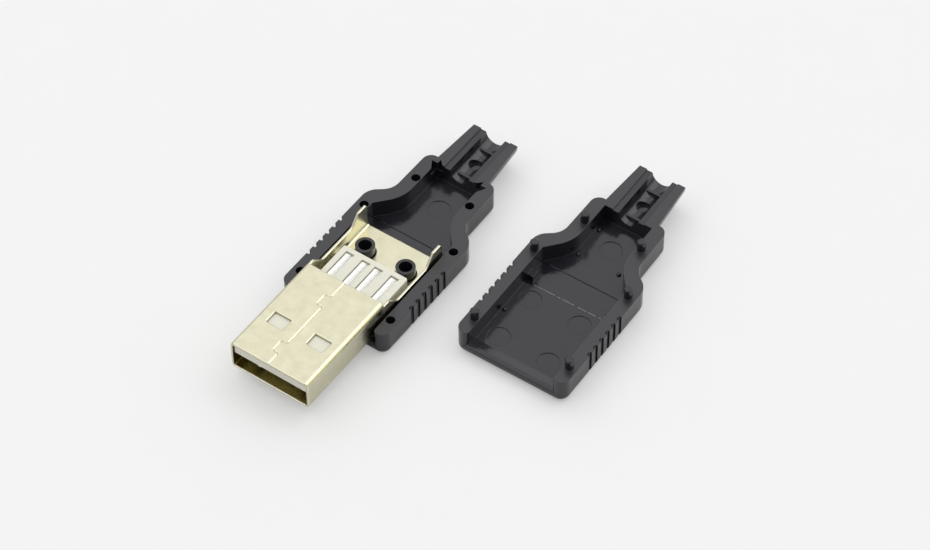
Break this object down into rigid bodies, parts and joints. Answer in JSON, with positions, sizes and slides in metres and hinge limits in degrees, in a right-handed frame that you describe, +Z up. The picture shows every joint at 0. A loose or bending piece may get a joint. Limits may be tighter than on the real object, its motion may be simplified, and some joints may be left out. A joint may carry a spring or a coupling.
{
  "type": "usb_a_plug",
  "caption": "Solder-type USB-A plug: folded metal shell, white insulator and tinned contacts seated in the lower half of a black plastic cover, with the upper half lying open beside it.",
  "frame": {"origin": "the middle of the flat underside of the lower cover's grip, on the table", "axes": "+Y along the plug from its mouth to the cable end, +Z up out of the open cover, +X across the plug towards the cover half that lies beside it"},
  "size_m": [0.0388, 0.0552, 0.0063],
  "materials": {
    "plated_steel": "bright nickel plating with a warm tint",
    "white_plastic": "moulded, satin",
    "tinned_contact": "tin plated strip",
    "black_plastic": "moulded, fine matt grain"
  },
  "bodies": {
    "root": {"plug_shell": "plated_steel", "insulator": "white_plastic", "contact_1": "tinned_contact", "contact_2": "tinned_contact", "contact_3": "tinned_contact", "contact_4": "tinned_contact", "lower_cover": "black_plastic", "upper_cover": "black_plastic"}
  },
  "joints": []
}
